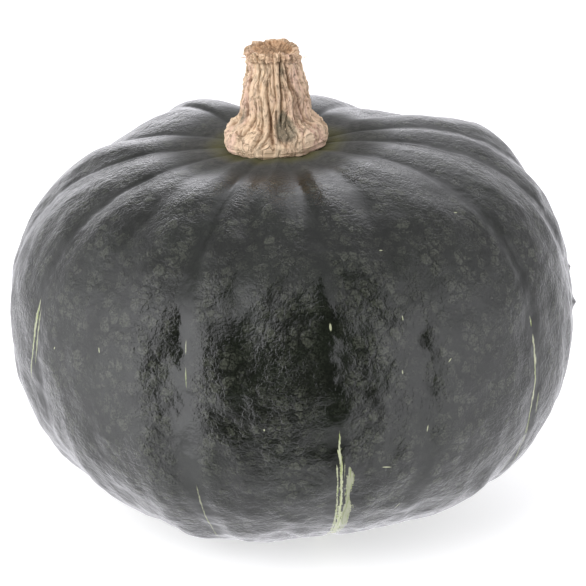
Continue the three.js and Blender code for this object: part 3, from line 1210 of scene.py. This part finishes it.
    def _bark(self, ring: Vector, azimuth: float, height: float, way: float) -> tuple[float, float, float]:
        """The bark at a point.

        Args:
            ring: Which way it faces round the stem, wandering with the strands.
            azimuth: Where it is round the stem, in degrees.
            height: How high it is above the seat, in millimetres.
            way: How far along the strands it is, up the flare and the stem, in millimetres.

        Returns:
            How far the bark stands out, how deep the cracks cut into it, and how much painted shade it gets in
            its cracks and creases and under the rim, from 0 to 1.
        """
        up = Vector((0.0, 0.0, way))
        collar = 1 - smoothstep(height, 5.5, 10.5)
        lip = 1 - smoothstep(height, 2.0, 5.2)
        strands = creased(ring * 4.8 + up / 13)
        fibres = creased(ring * 10.5 + up / 8 + Vector((5, 0, 0)))
        hairs = creased(ring * 20 + up / 5 + Vector((0, 5, 0)))
        splits = creased(ring * 15 + up / 10 + Vector((0, 0, 9)))
        rolls = creased(ring * 5 + up / 3.5 + Vector((3, 3, 0)))
        creases = creased(ring * 1.6 + Vector((8, 0, height / 0.75)))
        bare = 1 - 0.85 * lip
        skin = ring * 10 + up
        bark = 0.5 * smoothstep(strands, 0.0, 0.16) + 0.5 * strands + 0.2 * smoothstep(splits, 0.0, 0.12)
        bark += 0.34 * (1 - smoothstep(fibres, 0.0, 0.16)) + 0.24 * (1 - smoothstep(hairs, 0.0, 0.14))
        bark += 0.3 * noise.noise(skin / 2.1) + 0.2 * noise.noise(skin / 0.85)
        bark = bare * bark + collar * bare * 0.8 * rolls + lip * (0.9 * creases + 0.6)
        bark += 0.6 * noise.noise(ring * 2.2 + up / 30)
        hollow = 1.3 * bell(turn_between(azimuth, self.hollow_azimuth), 14) * bell(height - 11, 4.0)
        cuts = bare * sum(crack.depth_at(azimuth, height) for crack in self.cracks)
        neck = bell(height - 29.5 + 0.6 * noise.noise(ring * 4), 0.6)
        broken = 0.35 + 0.65 * smoothstep(noise.noise(skin / 3), -0.3, 0.1)
        # Painted shade in the cracks, and in a broken band in the neck under the rim.
        dark = max(cuts / 0.9, 0.75 * neck * broken)
        # Painted shade in the creases of the strands, splits, rolls and lip.
        folds = (
            (strands, bare, 0.085), (splits, 0.6 * bare, 0.06),
            (rolls, 0.6 * collar * bare, 0.07), (creases, 0.9 * lip, 0.13),
        )
        for fold, share, reach in folds:
            dark = max(dark, share * broken * (1 - smoothstep(fold, 0.0, reach)))
        return bark - 0.75, hollow + cuts + 0.5 * neck, min(1.0, dark)


# ---- The studio ----------------------------------------------------------------------------------


@dataclass(frozen=True)
class FloorFinish:
    """A matte white board on a light table, faintly uneven.

    Attributes:
        white: Its colour.
        shade: Its colour in faint clouds.
        cloud: A cloud's size, in metres.
        glow: How strongly the table lights it from below.
    """

    white: Colour = (0.86, 0.86, 0.86)
    shade: Colour = (0.84, 0.84, 0.84)
    cloud: float = 0.4
    glow: float = 0.6

    def material(self) -> bpy.types.Material:
        """Builds the floor's material.

        Returns:
            The material.
        """
        graph = Graph(bpy.data.materials.new("white_board"))
        place = graph.value("ShaderNodeTexCoord", {}, {}, "Object")
        colour = graph.mix(graph.noise(place, self.cloud), self.white, self.shade)
        return graph.surface(
            Base_Color=colour,
            Roughness=0.9,
            Emission_Color=(1.0, 1.0, 1.0, 1.0),
            Emission_Strength=self.glow,
        )


@dataclass(frozen=True)
class Panel:
    """A soft patch of the tent, brighter or dimmer than the rest.

    Attributes:
        around: Its share against azimuth.
        up: Its share against elevation.
        level: How much light it adds, or below 0 takes away.
    """

    around: Stops
    up: Stops
    level: float


@dataclass(frozen=True)
class Tent:
    """The light all round, as brightness against degrees.

    Azimuth is 0 straight in front and rises to the right, and elevation is 0 at the horizon.

    Attributes:
        base: Brightness against elevation.
        tint: The light's colour.
        panels: The patches that differ from the base.
        gap_top: How high the dark opening in front reaches, against azimuth.
        gap_up: The opening's share against elevation, up from the floor.
        gap_left: The azimuth of the opening's left side.
        gap_right: The azimuth of its right side.
        gap_flare: How much further right that side stands higher up.
        gap_edge: Half the width of its soft sides.
        gap_dark: How much of the light it takes away.
    """

    base: Stops = (
        (-90, 1.3), (-45, 1.3), (-25, 1.15), (-5, 1.15), (28, 1.12), (38, 1), (50, 0.86), (60, 0.76),
        (70, 0.76), (90, 0.72),
    )
    tint: Colour = (0.99, 0.984, 1.035)
    panels: tuple[Panel, ...] = (
        # The left wall.
        Panel(
            ((-128, 0), (-96, 0.28), (-82, 0.6), (-70, 1), (-30, 1), (-29, 0)),
            ((-62, 0), (-50, 0.2), (-36, 0.3), (-27, 1), (15, 1), (28, 0.82), (38, 0.6), (48, 0.12), (56, 0)),
            2.0,
        ),
        # The right wall.
        Panel(
            ((28, 0), (29, 1), (66, 1), (84, 0.5), (100, 0.1), (125, 0)),
            ((-70, 0), (-45, 0.35), (-20, 1), (4, 1), (18, 0.8), (40, 0.4), (58, 0)),
            0.85,
        ),
        # The back wall, left of its middle.
        Panel(
            ((-180, 0.8), (-177, 1), (-172, 1), (-166, 0), (158, 0), (172, 0.35), (180, 0.8)),
            ((-8, 0), (4, 1), (34, 1), (46, 0.4), (56, 0)),
            1.25,
        ),
        # The lit board behind, low on the left.
        Panel(
            ((-170, 0), (-158, 1), (-130, 1), (-100, 0)),
            ((-62, 0), (-44, 1), (-30, 1), (-18, 0)),
            0.4,
        ),
        # The dimmer wall behind, above that board.
        Panel(
            ((-168, 0), (-161, 1), (-130, 1), (-108, 0)),
            ((-26, 0), (-14, 0.5), (6, 0.6), (16, 1), (54, 1), (66, 0)),
            -0.4,
        ),
        # The strip of light along the horizon behind, on the left.
        Panel(
            ((-174, 0), (-167, 1), (-152, 1), (-143, 0)),
            ((-10, 0), (-3, 1), (9, 1), (18, 0)),
            0.75,
        ),
        # The dimmer wall behind, on the right.
        Panel(
            ((90, 0), (102, 1), (146, 1), (160, 0.6), (178, 0.3), (180, 0)),
            ((-16, 0), (2, 1), (36, 1), (48, 0.5), (64, 0.4), (74, 0)),
            -0.42,
        ),
        # The light high behind, on the right.
        Panel(
            ((128, 0), (146, 1), (172, 1), (180, 0.4)),
            ((28, 0), (38, 1), (56, 1), (66, 0.4), (76, 0)),
            0.65,
        ),
        # The light above the camera, on its left.
        Panel(
            ((-62, 0), (-46, 1), (-14, 1), (0, 0)),
            ((38, 0), (46, 1), (58, 1), (68, 0.3), (78, 0)),
            0.8,
        ),
    )
    gap_top: Stops = (
        (-38, 20), (-30, 24), (-22, 27), (-16, 35), (-8, 51), (0, 58), (5, 67), (9, 74), (24, 73),
        (32, 62), (38, 49),
    )
    gap_up: Stops = ((-54, 0), (-44, 0.28), (-34, 0.42), (-27, 0.6), (-23, 0.95), (-20, 1))
    gap_left: float = -38.0
    gap_right: float = 32.0
    gap_flare: float = 6.0
    gap_edge: float = 1.5
    gap_dark: float = 0.985

    def build(self) -> bpy.types.World:
        """Builds the world.

        Returns:
            The world, which is not yet the scene's own.
        """
        graph = Graph(bpy.data.worlds.new("tent"))
        x, y, z = graph.split(graph.value("ShaderNodeTexCoord", {}, {}, "Generated"))
        azimuth = x.angle(0.0 - y)
        elevation = z.math("ARCSINE", z) * math.degrees(1)
        light = graph.curve(elevation, self.base)
        for panel in self.panels:
            share = graph.curve(azimuth, panel.around) * graph.curve(elevation, panel.up)
            light = light + share * panel.level
        under_top = (elevation - graph.curve(azimuth, self.gap_top)).fall(-4.0, 4.0)
        right_side = self.gap_right + self.gap_flare * elevation.rise(24.0, 34.0)
        sides = azimuth.rise(self.gap_left - self.gap_edge, self.gap_left + self.gap_edge)
        sides = sides * (azimuth - right_side).fall(-self.gap_edge, self.gap_edge)
        gap = sides * graph.curve(elevation, self.gap_up) * under_top
        strength = light * (1.0 - self.gap_dark * gap)
        sockets = {"Color": (*self.tint, 1.0), "Strength": strength}
        background = graph.value("ShaderNodeBackground", {}, sockets)
        graph.node("ShaderNodeOutputWorld", {}, {"Surface": background})
        return graph.owner


@dataclass
class Studio:
    """A pale floor in a tent of light, and the camera. Lengths are in metres but for the camera's own.

    Attributes:
        centre: What the camera and the fill light aim at.
        floor_radius: The floor's radius.
        distance: How far the camera stands from the centre.
        elevation: How far the camera looks down, in degrees.
        lens: The camera's focal length, in millimetres.
        sensor: The width of its sensor, in millimetres.
        rise: How far the picture is shifted up, as a share of its width.
        fill_place: Where the fill light hangs.
        fill_size: The side of its square.
        fill_watts: Its power.
    """

    centre: Vector
    floor_radius: float = 12.0
    distance: float = 1.0
    elevation: float = 21.8
    lens: float = 189.9
    sensor: float = 36.0
    rise: float = 0.045
    fill_place: Place = (-0.45, -0.85, 0.75)
    fill_size: float = 0.5
    fill_watts: float = 3.3

    def build(self) -> None:
        """Sets up floor, light and camera."""
        scene = bpy.context.scene
        scene.world = Tent().build()
        scene.view_settings.view_transform = "Standard"
        self._floor()
        self._fill()
        self._camera()

    def _floor(self) -> None:
        """Lays the pale floor. Reflections see the tent's own brightness below the horizon in its place."""
        bpy.ops.object.select_all(action="DESELECT")
        bpy.ops.mesh.primitive_circle_add(vertices=96, radius=self.floor_radius, fill_type="NGON")
        floor = bpy.context.object
        floor.name = "floor"
        floor.data.materials.append(FloorFinish().material())
        floor.visible_glossy = False

    def _fill(self) -> None:
        """Hangs a soft light in front, to the left, which the waxy skin doesn't mirror."""
        light = bpy.data.lights.new("fill", "AREA")
        light.size = self.fill_size
        light.energy = self.fill_watts
        fill = bpy.data.objects.new("fill", light)
        bpy.context.scene.collection.objects.link(fill)
        fill.location = self.fill_place
        fill.rotation_euler = (Vector(self.fill_place) - self.centre).to_track_quat("Z", "Y").to_euler()
        fill.visible_glossy = False

    def _camera(self) -> None:
        """Stands the camera in front, a little above, aimed at the fruit's middle."""
        lens = bpy.data.cameras.new("camera")
        lens.lens = self.lens
        lens.sensor_width = self.sensor
        lens.shift_y = self.rise
        camera = bpy.data.objects.new("camera", lens)
        bpy.context.scene.collection.objects.link(camera)
        angle = math.radians(self.elevation)
        away = Vector((0.0, -math.cos(angle), math.sin(angle)))
        camera.location = self.centre + away * self.distance
        camera.rotation_euler = (-away).to_track_quat("-Z", "Y").to_euler()
        bpy.context.scene.camera = camera


# ---- The whole -----------------------------------------------------------------------------------


def main() -> None:
    """Builds the studio and the squash."""
    logging.basicConfig(level=logging.INFO, format="%(message)s")
    growth = Growth()
    Studio(centre=Vector((0.0, 0.0, growth.middle * MM))).build()
    for maker in (Fruit(growth), Stem(growth)):
        piece = maker.build()
        log.info("%s: %d faces", piece.name, len(piece.data.polygons))


if __name__ == "__main__":
    main()
